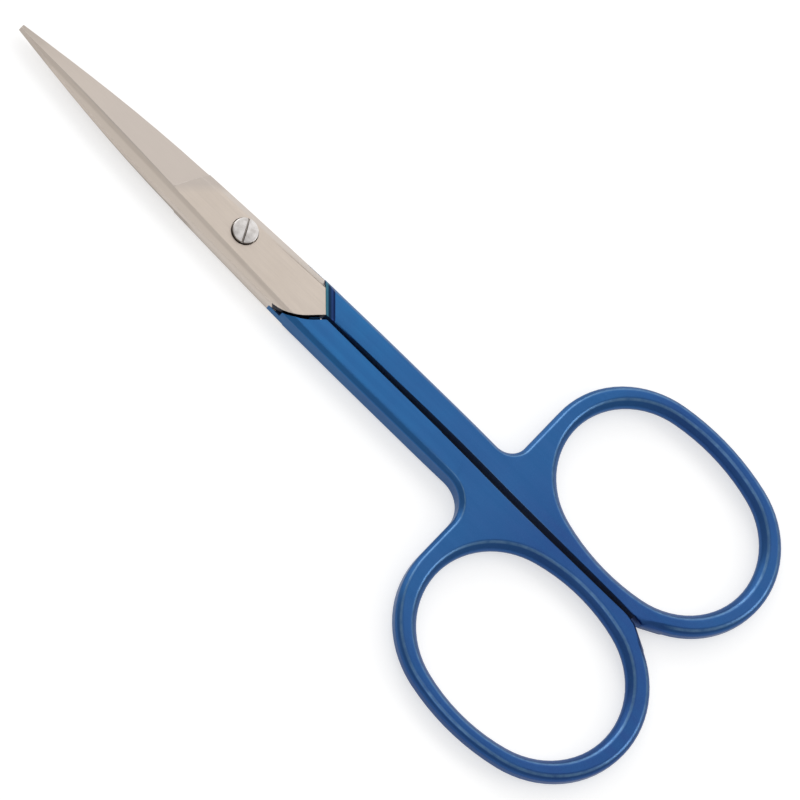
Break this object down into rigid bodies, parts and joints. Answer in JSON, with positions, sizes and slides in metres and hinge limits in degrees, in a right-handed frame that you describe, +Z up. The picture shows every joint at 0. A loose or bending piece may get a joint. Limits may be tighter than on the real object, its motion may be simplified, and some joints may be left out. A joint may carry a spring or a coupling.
{
  "type": "cuticle scissors",
  "caption": "Slim straight cuticle scissors with bare ground steel blades, a slotted pivot screw and blue-coated shanks and oval finger bows, shown closed.",
  "frame": {"origin": "middle of the bottom of the closed scissors' box, on the surface that they lie on", "axes": "+Y runs from the finger bows to the blade tip, +Z is up out of the screw head, +X is to the right when seen from the screw head with the tip away"},
  "size_m": [0.0427, 0.09, 0.003],
  "materials": {
    "blue_coating": "satin blue coating on steel",
    "ground_steel": "fine ground steel"
  },
  "bodies": {
    "rear": {"rear_half": "blue_coating", "pivot_screw": "ground_steel"},
    "front": {"front_half": "blue_coating"}
  },
  "joints": [
    {"name": "pivot", "type": "hinge", "parent": "rear", "child": "front", "pos_m": [0.00092, 0.01593, 0.0014], "axis": [0, 0, 1], "range_deg": [0, 120]}
  ]
}
